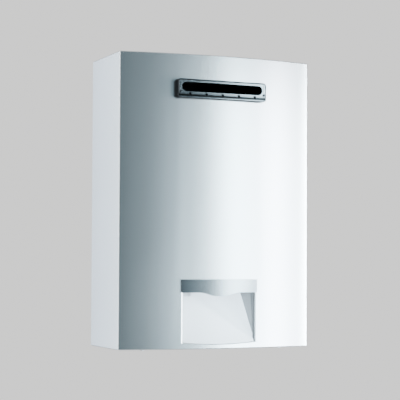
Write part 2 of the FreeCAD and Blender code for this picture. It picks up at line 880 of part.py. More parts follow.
def make_scoop_bar():
    """The silver trim bar over the scoop, with a rounded chin and two screw bosses behind."""
    ahead = apex_y - 2 * bar_proud
    behind = corner_y
    chin_z = bar_z0 - bar_chin_drop
    half = bar_half_width
    chin = bar_chin_half_width
    flat = bar_chin_flat
    run = chin - flat
    ease = (run ** 2 + bar_chin_drop ** 2) / (4 * bar_chin_drop)
    lean = math.asin(run / (2 * ease)) / 2
    out = ease * math.sin(lean)
    off = ease * (1 - math.cos(lean))
    middle_x = (chin + flat) / 2
    middle_z = (bar_z0 + chin_z) / 2

    def at(x, z):
        return V(x, ahead, z)

    def line(x0, z0, x1, z1):
        return Part.LineSegment(at(x0, z0), at(x1, z1)).toShape()

    edges = [
        line(-half, bar_z1, -half, bar_z0),
        line(-half, bar_z0, -chin, bar_z0),
        Part.Arc(at(-chin, bar_z0), at(-chin + out, bar_z0 - off), at(-middle_x, middle_z)).toShape(),
        Part.Arc(at(-middle_x, middle_z), at(-flat - out, chin_z + off), at(-flat, chin_z)).toShape(),
        line(-flat, chin_z, flat, chin_z),
        Part.Arc(at(flat, chin_z), at(flat + out, chin_z + off), at(middle_x, middle_z)).toShape(),
        Part.Arc(at(middle_x, middle_z), at(chin - out, bar_z0 - off), at(chin, bar_z0)).toShape(),
        line(chin, bar_z0, half, bar_z0),
        line(half, bar_z0, half, bar_z1),
        line(half, bar_z1, -half, bar_z1),
    ]
    outline = Part.Face(Part.Wire(edges)).extrude(V(0, behind - ahead, 0))
    bar = front_layer(-bar_proud, bar_thickness - bar_proud, -half, half, chin_z, bar_z1).common(outline)
    # the ends and the top edge rest on the cover, and the rest reaches into the window
    window_x = scoop_half_width - 2 * seat_gap
    window_top = scoop_z1 - 2 * seat_gap
    on_cover = front_layer(0.0, bar_thickness, -half - 1, half + 1, chin_z - 1, bar_z1 + 1)
    in_window = box(-window_x, window_x, ahead, behind, chin_z - 2, window_top)
    bar = bar.cut(on_cover.cut(in_window))
    bosses = []
    for side in (-1, 1):
        x = side * bar_boss_x
        start = front_y(x, bar_thickness - bar_proud) - bar_proud / 4
        boss = faceted_rod(bar_boss_radius, V(x, start, bar_boss_z), AXIS_Y, bar_boss_length + bar_proud / 4)
        bosses.append(boss)
    bar = joined([bar] + bosses)
    for side in (-1, 1):
        x = side * bar_boss_x
        start = front_y(x, bar_thickness - bar_proud)
        bar = bar.cut(faceted_rod(bar_screw_radius, V(x, start, bar_boss_z), AXIS_Y, 2 * bar_boss_length))
    return bar


def make_bar_screws():
    """Two screws that hold the trim bar from inside the scoop."""
    screws = []
    for side in (-1, 1):
        x = side * bar_boss_x
        tab_rear = front_y(x, bar_thickness - bar_proud + bar_boss_length + seat_gap + scoop_wall)
        tab_rear = max(tab_rear, front_y(abs(x) + 2 * bar_boss_radius,
                                         bar_thickness - bar_proud + bar_boss_length + seat_gap + scoop_wall))
        shank_length = scoop_wall + bar_boss_length * 0.8
        head = hexagon(3.6 * bar_screw_radius, V(x, tab_rear, bar_boss_z), AXIS_Y, 1.2 * bar_screw_radius)
        shank = faceted_rod(bar_screw_radius - shaft_fit, V(x, tab_rear - shank_length, bar_boss_z),
                            AXIS_Y, shank_length)
        screws.append(joined([head, shank]))
    return group(screws)


def terminal_block(margin, y0, y1, z0, z1):
    """A block behind the terminal's outline, with rounded corners."""
    half = terminal_width / 2 + margin
    block = box(-half, half, y0, y1, z0 - margin, z1 + margin)
    edges = [edge for edge in block.Edges if abs(edge.tangentAt(edge.FirstParameter).y) > 0.5]
    return block.makeFillet(terminal_corner_radius + margin, edges)


def terminal_screw_places():
    """The terminal's two screws, at its lower corners."""
    x = terminal_width / 2 - terminal_screw_inset
    z = terminal_z0 + terminal_screw_height
    return [V(-x, terminal_y, z), V(x, terminal_y, z)]


def make_flue_terminal():
    """The stainless terminal: a face with a sunk panel round its slot, a throat, notches and a ledge."""
    sheet = terminal_sheet
    back = terminal_y + terminal_rim_depth
    fold_z = terminal_z0 + terminal_ledge_height
    block = terminal_block(0.0, terminal_y, back, terminal_z0, terminal_z1)
    step = box(-terminal_width, terminal_width, terminal_y - 1, terminal_y + terminal_ledge_step,
               terminal_z0 - 1, fold_z)
    block = block.cut(step)
    face_edges = [edge for edge in block.Edges if edge.BoundBox.YMax < terminal_y + 0.01]
    block = block.makeChamfer(terminal_edge, face_edges)
    inside = terminal_block(-sheet, terminal_y + sheet, back + 1, fold_z, terminal_z1)
    panel = terminal_width / 2 - terminal_panel_side
    block = block.cut([inside, box(-panel, panel, terminal_y - 1, terminal_y + terminal_panel_step,
                                   fold_z, terminal_z1 - terminal_panel_top)])
    throat_outer = slot_prism(flue_slot_width + 2 * sheet, flue_slot_height + 2 * sheet, flue_slot_z,
                              terminal_y + sheet / 2, terminal_y + flue_throat_depth)
    throat_inner = slot_prism(flue_slot_width, flue_slot_height, flue_slot_z, terminal_y - 1,
                              terminal_y + flue_throat_depth + 1)
    terminal = joined([block, throat_outer]).cut(throat_inner)
    for index in range(drain_notch_count):
        x = (index - (drain_notch_count - 1) / 2) * drain_notch_pitch
        notch = faceted_rod(drain_notch_radius, V(x, terminal_y - 1, fold_z + 0.4), AXIS_Y,
                            terminal_ledge_step + sheet + 1)
        terminal = terminal.cut(notch)
    for place in terminal_screw_places():
        terminal = terminal.cut(faceted_rod(terminal_screw_radius + seat_gap / 2, place - AXIS_Y, AXIS_Y,
                                            2 * terminal_rim_depth))
    return terminal


def make_flue_gasket():
    """The dark seal between the terminal and the curved front."""
    back = terminal_y + terminal_rim_depth
    block = terminal_block(gasket_overhang, back, corner_y, terminal_z0, terminal_z1)
    block = block.cut(front_layer(0.0, casing_side_depth, -half_width + 1, half_width - 1, bottom_z, top_z))
    lip = terminal_block(gasket_overhang, back - 1.6, back, terminal_z0, terminal_z1)
    lip = lip.cut(terminal_block(shaft_fit, back - 3, back + 1, terminal_z0, terminal_z1))
    slot = slot_prism(flue_window_width, flue_window_height, flue_slot_z, terminal_y - 1, corner_y)
    gasket = joined([block, lip]).cut(slot)
    for place in terminal_screw_places():
        gasket = gasket.cut(faceted_rod(terminal_screw_radius + seat_gap / 2, place - AXIS_Y, AXIS_Y,
                                        casing_side_depth / 4))
    return gasket


def make_terminal_screws():
    """Black screws at the terminal's lower corners."""
    screws = []
    for place in terminal_screw_places():
        surface = front_y(place.x, -seat_gap)
        shank = faceted_rod(terminal_screw_radius, place, AXIS_Y, surface - place.y)
        head = faceted_rod(1.5 * terminal_screw_radius, place - AXIS_Y * terminal_screw_head, AXIS_Y,
                           terminal_screw_head, 12)
        screws.append(joined([head, shank]))
    return group(screws)


# Combustion column

def column_plan(inset, corner):
    """The column's plan outline, an inset inside it, with its corners in short chords."""
    half = column_half - inset
    front = column_front_y + inset
    back = column_back_y - inset
    if corner == 0:
        return [(half, back), (-half, back), (-half, front), (half, front)]
    turns = [(half - corner, back - corner, 0), (-half + corner, back - corner, 90),
             (-half + corner, front + corner, 180), (half - corner, front + corner, 270)]
    points = []
    for x, y, start in turns:
        for step in range(column_corner_steps + 1):
            angle = math.radians(start + 90 * step / column_corner_steps)
            points.append((x + corner * math.cos(angle), y + corner * math.sin(angle)))
    return points


def column_shell(z0, z1, corner):
    """An open sleeve of the column's plan size."""
    sheet = column_sheet
    inner_corner = max(corner - sheet, 0)
    outer = polygon([V(x, y, z0) for x, y in column_plan(0, corner)], AXIS_Z * (z1 - z0))
    inner = polygon([V(x, y, z0 - 1) for x, y in column_plan(sheet, inner_corner)], AXIS_Z * (z1 - z0 + 2))
    return outer.cut(inner)


def make_burner_box():
    """The steel box under the combustion chamber, open above, with slots for air and gas."""
    sheet = column_sheet
    sleeve = column_shell(column_foot, chamber_z, 0.0)
    floor = box(-column_half, column_half, column_front_y, column_back_y, column_foot, column_foot + sheet)
    shell = joined([sleeve, floor])
    half = injector_slot_height / 2
    reach = burner_row_half()
    slot = box(-reach, reach, column_front_y - 1, column_front_y + 2 * sheet,
               injector_z - half, injector_z + half)
    x0, x1 = outlet_sides()
    air = box(x0 + fan_sheet, x1 - fan_sheet, fan_front_y + fan_sheet, -fan_back - fan_sheet,
              column_foot - 1, column_foot + 2 * sheet)
    return shell.cut([slot, air])


def burner_row_half():
    """Half the width of the row of burners."""
    return (burner_count - 1) / 2 * burner_pitch + burner_top_width / 2


def burner_places():
    """The middle of each burner, from left to right."""
    return [(index - (burner_count - 1) / 2) * burner_pitch for index in range(burner_count)]


def make_burner_blades():
    """A row of keel-shaped burners with a port slot along the top of each."""
    front = column_front_y + column_sheet + seat_gap
    back = column_back_y - column_sheet - seat_gap
    top = chamber_z - burner_below_rim
    foot = top - burner_height
    blades = []
    for x in burner_places():
        wide = burner_top_width / 2
        slim = burner_foot_width / 2
        port = burner_port_width / 2
        outline = [
            (x - slim, foot), (x + slim, foot), (x + wide, top - wide), (x + wide, top),
            (x + port, top), (x + port, top - burner_port_depth), (x - port, top - burner_port_depth),
            (x - port, top), (x - wide, top), (x - wide, top - wide),
        ]
        blades.append(front_prism(outline, front, back))
    return group(blades)


def make_gas_manifold():
    """The gas bar along the front of the burner box."""
    half = burner_row_half() + manifold_overhang
    back = column_front_y - manifold_gap
    low = injector_z - manifold_height / 2
    bar = box(-half, half, back - manifold_depth, back, low, low + manifold_height)
    lug = manifold_height / 3
    lugs = []
    for side in (-1, 1):
        x = side * (column_half - 2 * lug)
        lugs.append(box(x - lug, x + lug, back - 1, column_front_y, low + manifold_height,
                        low + manifold_height + 2 * lug))
        lugs.append(box(x - lug, x + lug, back - 3, back, low + manifold_height - 1,
                        low + manifold_height + 2 * lug))
    return joined([bar] + lugs)


def make_gas_injectors():
    """A hexagon injector for each burner."""
    back = column_front_y - manifold_gap
    return group([hexagon(injector_across, V(x, back, injector_z), AXIS_Y, injector_length)
                  for x in burner_places()])


def make_combustion_chamber():
    """The copper jacket around the flames, with rounded corners for its wound tube."""
    corner = coil_corner_radius - water_tube_radius - tube_gap
    sleeve = column_shell(chamber_z, exchanger_z, corner)
    hole = electrode_radius + shaft_fit
    for x in electrode_places():
        sleeve = sleeve.cut(faceted_rod(hole, V(x, column_front_y - 1, chamber_z + electrode_height), AXIS_Y,
                                        3 * column_sheet))
    return sleeve


def electrode_room():
    """The room between the chamber's front and the cover, at the column's sides."""
    return column_front_y - front_y(column_half, cover_sheet)


def electrode_places():
    """Across the front of the chamber: two spark electrodes and the flame sensor."""
    return [-burner_pitch * 1.5, -burner_pitch * 0.5, burner_pitch * 2.5]


def make_electrode(x, reach):
    """A ceramic sleeve through the chamber's front, with its wire over the burners."""
    z = chamber_z + electrode_height
    start = column_front_y - electrode_outside_share * electrode_room()
    end = start + electrode_sleeve
    wire = electrode_wire_radius
    sleeve = faceted_rod(electrode_radius, V(x, start, z), AXIS_Y, electrode_sleeve)
    wire = box(x - wire, x + wire, end - 1, end + reach, z - wire, z + wire)
    return joined([sleeve, wire])


def make_chamber_coil():
    """The water tube wound around the combustion chamber, up to the exchanger's inlet."""
    run_y = coil_back_y - coil_front_y
    lap = 2 * (2 * coil_x + run_y)
    z = chamber_z + coil_start_above_chamber
    points = [V(cold_x, water_y, sensor_top), V(cold_x, water_y, z)]
    travelled = water_y - coil_front_y
    plan = [(coil_x, coil_front_y), (-coil_x, coil_front_y), (-coil_x, coil_back_y), (coil_x, coil_back_y)]
    steps = [2 * coil_x, run_y, 2 * coil_x, run_y]
    for index in range(4 * coil_turns):
        x, y = plan[index % 4]
        points.append(V(x, y, z + travelled / lap * coil_climb_per_turn))
        travelled += steps[index % 4]
    last_run = coil_back_y - inlet_y
    travelled += last_run - run_y
    points.append(V(coil_x, inlet_y, z + travelled / lap * coil_climb_per_turn))
    points.append(V(coil_x, inlet_y, tube_z - exchanger_tube_radius - cap_margin))
    coil = tube(points, water_tube_radius, coil_corner_radius)
    least = coil_climb_per_turn - 2 * water_tube_radius
    print("coil: least gap between turns", round(least, 2), "mm")
    return coil


def make_exchanger_fins():
    """The fin block: thin plates above and below, brazed around the water tubes."""
    block = box(-column_half, column_half, column_front_y, column_back_y, exchanger_z, collector_z)
    pitch = (column_width - 4 * column_sheet) / fin_count
    spine = fin_spine / 2
    cuts = []
    for index in range(fin_count):
        x = (index - (fin_count - 1) / 2) * pitch
        inner_front = column_front_y + column_sheet
        inner_back = column_back_y - column_sheet
        cuts.append(box(x - fin_gap / 2, x + fin_gap / 2, inner_front, inner_back, tube_z + spine,
                        collector_z + 1))
        cuts.append(box(x - fin_gap / 2, x + fin_gap / 2, inner_front, inner_back, exchanger_z - 1,
                        tube_z - spine))
    for y in tube_row_y:
        cuts.append(faceted_rod(exchanger_tube_radius + shaft_fit, V(-column_width, y, tube_z), AXIS_X,
                                2 * column_width))
    return block.cut(cuts)


def make_exchanger_tubes():
    """The straight copper tubes through the fins."""
    length = column_width + 2 * cap_margin
    return group([faceted_rod(exchanger_tube_radius, V(-length / 2, y, tube_z), AXIS_X, length)
                  for y in tube_row_y])


def make_exchanger_caps():
    """The pressed caps that lead the water from each tube to the next, and the two end caps."""
    high = exchanger_tube_radius + cap_margin
    start = column_half + cap_margin
    caps = []
    for first in range(exchanger_tube_count - 1):
        side = 1 if first % 2 else -1
        y0 = tube_row_y[first] - high
        y1 = tube_row_y[first + 1] + high
        caps.append(cap_block(side, start, y0, y1, high))
    caps.append(cap_block(1, start, inlet_y - high, inlet_y + high, high))
    caps.append(cap_block(-1, start, outlet_y - high, outlet_y + high, high))
    return group(caps)


def cap_block(side, start, y0, y1, high):
    """A pressed cap with slanted ends, on the right or the left of the exchanger."""
    slant = cap_depth * 0.5
    y_gap = seat_gap / 2
    outline = [
        V(start, y0 + y_gap, 0), V(start + cap_depth - slant, y0 + y_gap, 0),
        V(start + cap_depth, y0 + slant, 0), V(start + cap_depth, y1 - slant, 0),
        V(start + cap_depth - slant, y1 - y_gap, 0), V(start, y1 - y_gap, 0),
    ]
    cap = polygon([point + AXIS_Z * (tube_z - high) for point in outline], AXIS_Z * (2 * high))
    return cap if side > 0 else mirrored(cap)


def make_flue_collector():
    """The hood over the exchanger, with the spout that reaches the flue terminal."""
    sheet = column_sheet
    top = collector_z + collector_height
    shoulder = top - collector_shoulder
    front = column_front_y
    back = column_back_y
    slope = collector_shoulder
    outline = [(front, collector_z), (front, shoulder), (front + slope, top), (back - slope, top),
               (back, shoulder), (back, collector_z)]
    inner = [(front + sheet, collector_z - 1), (front + sheet, shoulder - sheet / 2),
             (front + slope + sheet / 2, top - sheet), (back - slope - sheet / 2, top - sheet),
             (back - sheet, shoulder - sheet / 2), (back - sheet, collector_z - 1)]
    hood = side_prism(outline, -column_half, column_half)
    hollow = side_prism(inner, -column_half + sheet, column_half - sheet)
    low = flue_slot_z - spout_height / 2
    high = flue_slot_z + spout_height / 2
    mouth = front_y(spout_half_width, cover_sheet) + spout_gap
    spout = box(-spout_half_width, spout_half_width, mouth, front + slope, low, high)
    bore = box(-spout_half_width + sheet, spout_half_width - sheet, mouth - 1, front + 2 * slope,
               low + sheet, high - sheet)
    return joined([hood, spout]).cut([hollow, bore])


# Fan

def volute(inset, y0, y1, mouth_z):
    """The fan's scroll, an inset inside its outline, drawn out from y0 to y1."""
    outline = []
    for step in range(volute_steps + 1):
        turn = 270 * step / volute_steps
        angle = math.radians(90 + turn)
        radius = volute_start + volute_growth * turn / 90 - inset
        outline.append((math.cos(angle) * radius, fan_centre_z + math.sin(angle) * radius))
    left, right = outlet_sides()
    outline.append((right - inset, mouth_z))
    outline.append((left + inset, mouth_z))
    outline.append((left + inset, outline[0][1]))
    return front_prism(outline, y0, y1)


def outlet_sides():
    """The left and right side of the fan's outlet."""
    right = volute_start + 3 * volute_growth
    return right - outlet_width, right


def fan_axis(y):
    """A point on the fan's axis."""
    return V(0, y, fan_centre_z)


def make_fan_housing():
    """The scroll: one wall around, a back with the shaft's hole, and a mouth under the burners."""
    mouth = column_foot
    body = volute(0.0, fan_front_y, -fan_back, mouth)
    hollow = volute(fan_sheet, fan_front_y - 1, -fan_back - fan_sheet, mouth + 1)
    hole = faceted_rod(shaft_radius + 2, fan_axis(-fan_back - 3), AXIS_Y, 6)
    return body.cut([hollow, hole])


def make_fan_cover():
    """The scroll's front plate, with the air inlet and its collar."""
    front = fan_front_y - fan_cover_sheet
    plate = volute(0.0, front, fan_front_y, column_foot)
    collar = faceted_rod(inlet_radius + fan_cover_sheet, fan_axis(front), AXIS_Y,
                         fan_cover_sheet + inlet_lip, wheel_sides)
    hole = faceted_rod(inlet_radius, fan_axis(front - 1), AXIS_Y, inlet_lip + 2 * fan_cover_sheet + 2,
                       wheel_sides)
    return joined([plate, collar]).cut(hole)


def make_fan_impeller():
    """The squirrel-cage wheel: swept blades between a back plate and a front ring, on a hub."""
    back = -fan_back - fan_sheet - impeller_side_gap
    front = back - impeller_width
    ring = faceted_rod(impeller_radius, fan_axis(front), AXIS_Y, impeller_ring, wheel_sides)
    eye = faceted_rod(impeller_eye_radius, fan_axis(front - 1), AXIS_Y, impeller_ring + 2, wheel_sides)
    ring = ring.cut(eye)
    plate = faceted_rod(impeller_radius, fan_axis(back - impeller_ring), AXIS_Y, impeller_ring, wheel_sides)
    hub = faceted_rod(hub_radius, fan_axis(back - hub_length), AXIS_Y, hub_length)
    blades = []
    for index in range(blade_count):
        angle = 360.0 * index / blade_count
        blade = impeller_blade(front + impeller_ring / 2, back - impeller_ring / 2)
        blade.rotate(fan_axis(0), AXIS_Y, angle)
        blades.append(blade)
    bore = rod(shaft_radius, fan_axis(front), AXIS_Y, 2 * impeller_width)
    return joined([ring, plate, hub] + blades).cut(bore)


def impeller_blade(y0, y1):
    """One blade, swept the way the wheel turns, at the top of the wheel."""
    inner = impeller_eye_radius + 0.3
    outer = impeller_radius - 0.3
    lean = math.radians(blade_sweep)

    def at(radius, angle):
        return V(radius * math.sin(angle), y0, fan_centre_z + radius * math.cos(angle))

    thick = math.asin(blade_sheet / outer)
    points = [at(inner, 0), at(outer, lean), at(outer, lean + thick), at(inner, thick)]
    return polygon(points, V(0, y1 - y0, 0))


def make_fan_shaft():
    """The steel shaft from the motor into the wheel."""
    back = -fan_back + motor_length - 2
    front = -fan_back - fan_sheet - impeller_side_gap - hub_length - 2
    return rod(shaft_radius, fan_axis(front), AXIS_Y, back - front)


def make_fan_motor():
    """The motor behind the scroll, with its flange and the bore for the shaft."""
    body = faceted_rod(motor_radius, fan_axis(-fan_back), AXIS_Y, motor_length, 24)
    flange = faceted_rod(motor_flange_radius, fan_axis(-fan_back), AXIS_Y, motor_flange_sheet, 24)
    bore = rod(shaft_radius + shaft_fit, fan_axis(-fan_back - 1), AXIS_Y, motor_length)
    return joined([body, flange]).cut(bore)


# Gas side

def pipe_stub(x, y, top):
    """A threaded stub under the floor, with a relief groove between its thread and its flange."""
    thread = rod(pipe_thread_radius, V(x, y, floor_z - pipe_stub_drop), AXIS_Z,
                 pipe_stub_drop - pipe_relief_below_floor)
    relief_z = floor_z - pipe_relief_below_floor - 1
    relief = rod(pipe_relief_radius, V(x, y, relief_z), AXIS_Z, top - relief_z)
    return joined([thread, relief])


def make_gas_inlet():
    """The gas connection: its stub, the square flange that holds it and the neck up to the gas valve."""
    half = fitting_flange_side / 2
    stub = pipe_stub(gas_x, gas_y, flange_z + 1)
    flange = box(gas_x - half, gas_x + half, gas_y - half, gas_y + half, flange_z,
                 flange_z + fitting_flange_sheet)
    neck = faceted_rod(gas_neck_radius, V(gas_x, gas_y, flange_z), AXIS_Z, gas_body_z - flange_z)
    return joined([stub, flange, neck])


def make_gas_valve_body():
    """The cast gas valve, with a bore behind each solenoid."""
    half_x = gas_body_width / 2
    half_y = gas_body_depth / 2
    body = box(gas_x - half_x, gas_x + half_x, gas_y - half_y, gas_y + half_y, gas_body_z,
               gas_body_z + gas_body_height)
    edge = half_y / 3
    body = body.makeChamfer(edge, upright_edges(body))
    for place in solenoid_places() + [modulator_place()]:
        body = body.cut(plunger_bore(place, plunger_seat_depth))
    return body


def solenoid_places():
    """Where the two shut-off solenoids meet the valve's front."""
    z = gas_body_z + solenoid_low
    return [V(gas_x - solenoid_offset_x, gas_front_y, z), V(gas_x + solenoid_offset_x, gas_front_y, z)]


def modulator_place():
    """Where the modulating solenoid meets the valve's front."""
    return V(gas_x, gas_front_y, gas_body_z + modulator_high)


def plunger_bore(place, depth):
    """The bore that a plunger slides in, from the valve's front to a depth."""
    return faceted_rod(plunger_radius + plunger_fit, place, AXIS_Y, depth + seat_gap)


def make_solenoid(place, side):
    """A solenoid coil in its frame, with a blind bore for its plunger."""
    half = side / 2
    coil = box(place.x - half, place.x + half, place.y - solenoid_length, place.y, place.z - half,
               place.z + half)
    coil = coil.makeChamfer(half / 4, [edge for edge in coil.Edges
                                       if abs(edge.tangentAt(edge.FirstParameter).y) > 0.9])
    depth = plunger_length - plunger_seat_depth + solenoid_travel + 1
    return coil.cut(faceted_rod(plunger_radius + plunger_fit, place - AXIS_Y * depth, AXIS_Y, depth + 1))


def make_plunger(place):
    """A steel plunger, across the joint of the solenoid and the valve."""
    start = place - AXIS_Y * (plunger_length - plunger_seat_depth)
    return faceted_rod(plunger_radius, start, AXIS_Y, plunger_length)


def make_gas_tube():
    """The tube from the gas valve up to the manifold."""
    top = gas_body_z + gas_body_height
    front = column_front_y - manifold_gap - manifold_depth / 2
    lift = top + gas_tube_forward
    end = injector_z - manifold_height / 2
    points = [V(gas_x, gas_y, top), V(gas_x, gas_y, lift), V(gas_x, front, lift), V(gas_x, front, end)]
    return tube(points, min(gas_tube_radius, manifold_depth / 2), gas_bend_radius)


# Water side

def make_pipe_seals():
    """A rubber seal under each of the three pipe flanges."""
    seals = []
    half = fitting_flange_side / 2
    for x, y in water_places() + [(gas_x, gas_y)]:
        ring = box(x - half, x + half, y - half, y + half, floor_z + floor_sheet, flange_z)
        hole = faceted_rod(pipe_thread_radius + shaft_fit, V(x, y, floor_z), AXIS_Z, floor_recess, 16)
        seals.append(ring.cut(hole))
    return group(seals)


def make_water_fitting(x, y, bore_length):
    """A brass fitting with its threaded stub and the bore of a drain plug in front of it."""
    half = fitting_half_width
    side = fitting_flange_side / 2
    stub = pipe_stub(x, y, flange_z + 1)
    flange = box(x - side, x + side, y - half, y + side, flange_z, flange_z + fitting_flange_sheet)
    body = box(x - half, x + half, y - drain_offset - half, y + half, flange_z, fitting_top)
    body = body.makeChamfer(half / 3, [edge for edge in upright_edges(body) if edge.BoundBox.YMax < y])
    fitting = joined([stub, flange, body])
    bore = faceted_rod(drain_shaft_radius + shaft_fit, V(x, y - drain_offset, flange_z - 1), AXIS_Z,
                       bore_length + 1, 16)
    return fitting.cut(bore)


def make_drain_plug(x, y):
    """A winged plug that closes a water fitting from below."""
    place = V(x, y - drain_offset, plug_head_z - drain_head_height)
    head = faceted_rod(drain_head_radius, place, AXIS_Z, drain_head_height)
    wing = drain_head_radius * 0.8
    half = drain_grip_sheet / 2
    grip = box(place.x - wing, place.x + wing, place.y - half, place.y + half,
               place.z - drain_grip_height, place.z)
    shaft = rod(drain_shaft_radius, V(place.x, place.y, plug_head_z), AXIS_Z,
                flange_z + drain_shaft_length - plug_head_z)
    return joined([head, grip, shaft])


def make_plug_washer(x, y):
    """The sealing washer between a drain plug's head and its fitting."""
    start = V(x, y - drain_offset, plug_head_z)
    ring = faceted_rod(drain_head_radius - 0.5, start, AXIS_Z, plug_washer_sheet)
    bore = faceted_rod(drain_shaft_radius + shaft_fit, start - AXIS_Z, AXIS_Z, 3 * plug_washer_sheet)
    return ring.cut(bore)


def make_inlet_strainer():
    """The strainer basket on top of the cold drain plug."""
    start = V(cold_x, water_y - drain_offset, flange_z + drain_shaft_length)
    basket = faceted_rod(strainer_radius, start, AXIS_Z, strainer_length)
    hollow = faceted_rod(strainer_radius - 1, start + AXIS_Z, AXIS_Z, strainer_length)
    return basket.cut(hollow)


def make_flow_valve():
    """The flow control valve's block over the cold fitting, with its bores."""
    half = fitting_half_width
    block = box(cold_x - half, cold_x + half, water_y - half, water_y + half, fitting_top, valve_top)
    block = block.makeChamfer(half / 5, upright_edges(block))
    bore = faceted_rod(spool_radius + shaft_fit, spool_axis(0), AXIS_Y, spool_length + seat_gap, 16)
    passage = faceted_rod(valve_passage, V(cold_x, water_y, fitting_top - 1), AXIS_Z, valve_height + 2)
    return block.cut([bore, passage])


def spool_axis(depth):
    """A point on the axis of the flow valve's spool, some depth behind the block's front."""
    return V(cold_x, water_y - fitting_half_width + depth, fitting_top + valve_height / 2)


def make_flow_valve_spool():
    """The turning spool with its cross hole and the stem into its motor."""
    body = rod(spool_radius, spool_axis(0), AXIS_Y, spool_length)
    stem = rod(spool_stem_radius, spool_axis(-spool_stem_length), AXIS_Y, spool_stem_length + 1)
    middle = spool_axis(fitting_half_width)
    width = valve_passage * 0.6
    slot = box(middle.x - width, middle.x + width, middle.y - valve_passage, middle.y + valve_passage,
               middle.z - valve_height / 2, middle.z + valve_height / 2)
    return joined([body, stem]).cut(slot)


def make_flow_valve_motor():
    """The small stepping motor in front of the flow valve."""
    body = faceted_rod(stepper_radius, spool_axis(-stepper_length), AXIS_Y, stepper_length, 16)
    bore = faceted_rod(spool_stem_radius + shaft_fit, spool_axis(-spool_stem_length - seat_gap), AXIS_Y,
                       spool_stem_length + 1)
    return body.cut(bore)


def make_flow_sensor():
    """The flow sensor's housing over the valve, with the axle of its turbine."""
    body = faceted_rod(sensor_radius, V(cold_x, water_y, valve_top), AXIS_Z, sensor_height, 12)
    bore = faceted_rod(sensor_bore, V(cold_x, water_y, valve_top - 1), AXIS_Z, sensor_bore_depth + 1)
    axle = rod(turbine_axle_radius, V(cold_x, water_y, valve_top), AXIS_Z, sensor_bore_depth + 1)
    half = turbine_axle_radius
    spider = box(cold_x - sensor_bore - 1, cold_x + sensor_bore + 1, water_y - half, water_y + half,
                 valve_top, valve_top + 2 * half)
    return joined([body.cut(bore), axle, spider])


def make_flow_turbine():
    """The little turbine that the water turns."""
    start = V(cold_x, water_y, valve_top + turbine_lift)
    hub = faceted_rod(turbine_hub_radius, start, AXIS_Z, turbine_height, 10)
    blades = []
    for index in range(turbine_blade_count):
        half = turbine_blade_sheet / 2
        root = turbine_hub_radius - 1
        low = start + V(0, -turbine_height / 4, 1)
        points = [
            low + V(root, -half, 0), low + V(turbine_radius * 0.92, -half, 0),
            low + V(turbine_radius * 0.92, half, 0), low + V(root, half, 0),
        ]
        blade = polygon(points, V(0, turbine_height / 2, turbine_height - 2))
        blade.rotate(start, AXIS_Z, 360.0 * index / turbine_blade_count)
        blades.append(blade)
    bore = rod(turbine_axle_radius + shaft_fit, start - AXIS_Z, AXIS_Z, turbine_height + 2)
    return joined([hub] + blades).cut(bore)


def make_hot_pipe():
    """The copper pipe from the exchanger's last cap down to the hot fitting, with its union."""
    cap_face = -(column_half + cap_margin + cap_depth)
    union_top = fitting_top + union_height
    points = [V(cap_face, outlet_y, tube_z), V(hot_x, outlet_y, tube_z), V(hot_x, water_y, union_top - 1)]
    pipe = tube(points, water_tube_radius, coil_corner_radius)
    union = hexagon(union_across, V(hot_x, water_y, fitting_top), AXIS_Z, union_height)
    return joined([pipe, union])


def make_outlet_thermistor():
    """The sensor clipped to the front of the hot pipe."""
    near = water_y - water_tube_radius
    low = fitting_top + union_height + thermistor_above_union
    half = thermistor_width / 2
    return box(hot_x - half, hot_x + half, near - thermistor_depth, near, low, low + thermistor_height)


def make_overheat_thermostat():
    """The round thermostat with two tabs on the front of the exchanger."""
    centre = V(thermostat_x, column_front_y - thermostat_depth, tube_z)
    disc = faceted_rod(thermostat_radius, centre, AXIS_Y, thermostat_depth, 12)
    tabs = []
    for side in (-1, 1):
        x = thermostat_x + side * thermostat_radius / 2
        half = thermostat_tab_width / 2
        tabs.append(box(x - half, x + half, centre.y - thermostat_tab_length, centre.y + 1,
                        tube_z - thermostat_tab_sheet / 2, tube_z + thermostat_tab_sheet / 2))
    return joined([disc] + tabs)


# Electric side

def make_control_box():
    """The control unit's plastic tray, open to the front."""
    half = control_width / 2
    low = control_centre_z - control_height / 2
    high = control_centre_z + control_height / 2
    wall = control_wall
    tray = box(control_x - half, control_x + half, control_front_y, -control_back, low, high)
    hollow = box(control_x - half + wall, control_x + half - wall, control_front_y - 1, -control_back - wall,
                 low + wall, high - wall)
    posts = []
    for x, z in board_posts():
        posts.append(box(x - board_post, x + board_post, board_back_y(), -control_back - wall,
                         z - board_post, z + board_post))
    return joined([tray.cut(hollow)] + posts)


def board_back_y():
    """The rear face of the circuit board, on its posts."""
    return -control_back - control_wall - board_standoff


def board_posts():
    """The four posts under the circuit board."""
    x = control_width / 2 - 2 * board_margin
    z = control_height / 2 - 2 * board_margin
    return [(control_x + side * x, control_centre_z + end * z) for side in (-1, 1) for end in (-1, 1)]


def make_control_lid():
    """The lid over the control unit's tray."""
    half = control_width / 2
    low = control_centre_z - control_height / 2
    high = control_centre_z + control_height / 2
    near = control_front_y - control_lid_sheet
    lid = box(control_x - half, control_x + half, near, control_front_y, low, high)
    inset = control_wall + seat_gap
    rim = box(control_x - half + inset, control_x + half - inset, control_front_y - 1, control_front_y + 3,
              low + inset, high - inset)
    rim = rim.cut(box(control_x - half + 2 * inset, control_x + half - 2 * inset, control_front_y,
                      control_front_y + 4, low + 2 * inset, high - 2 * inset))
    return joined([lid, rim])


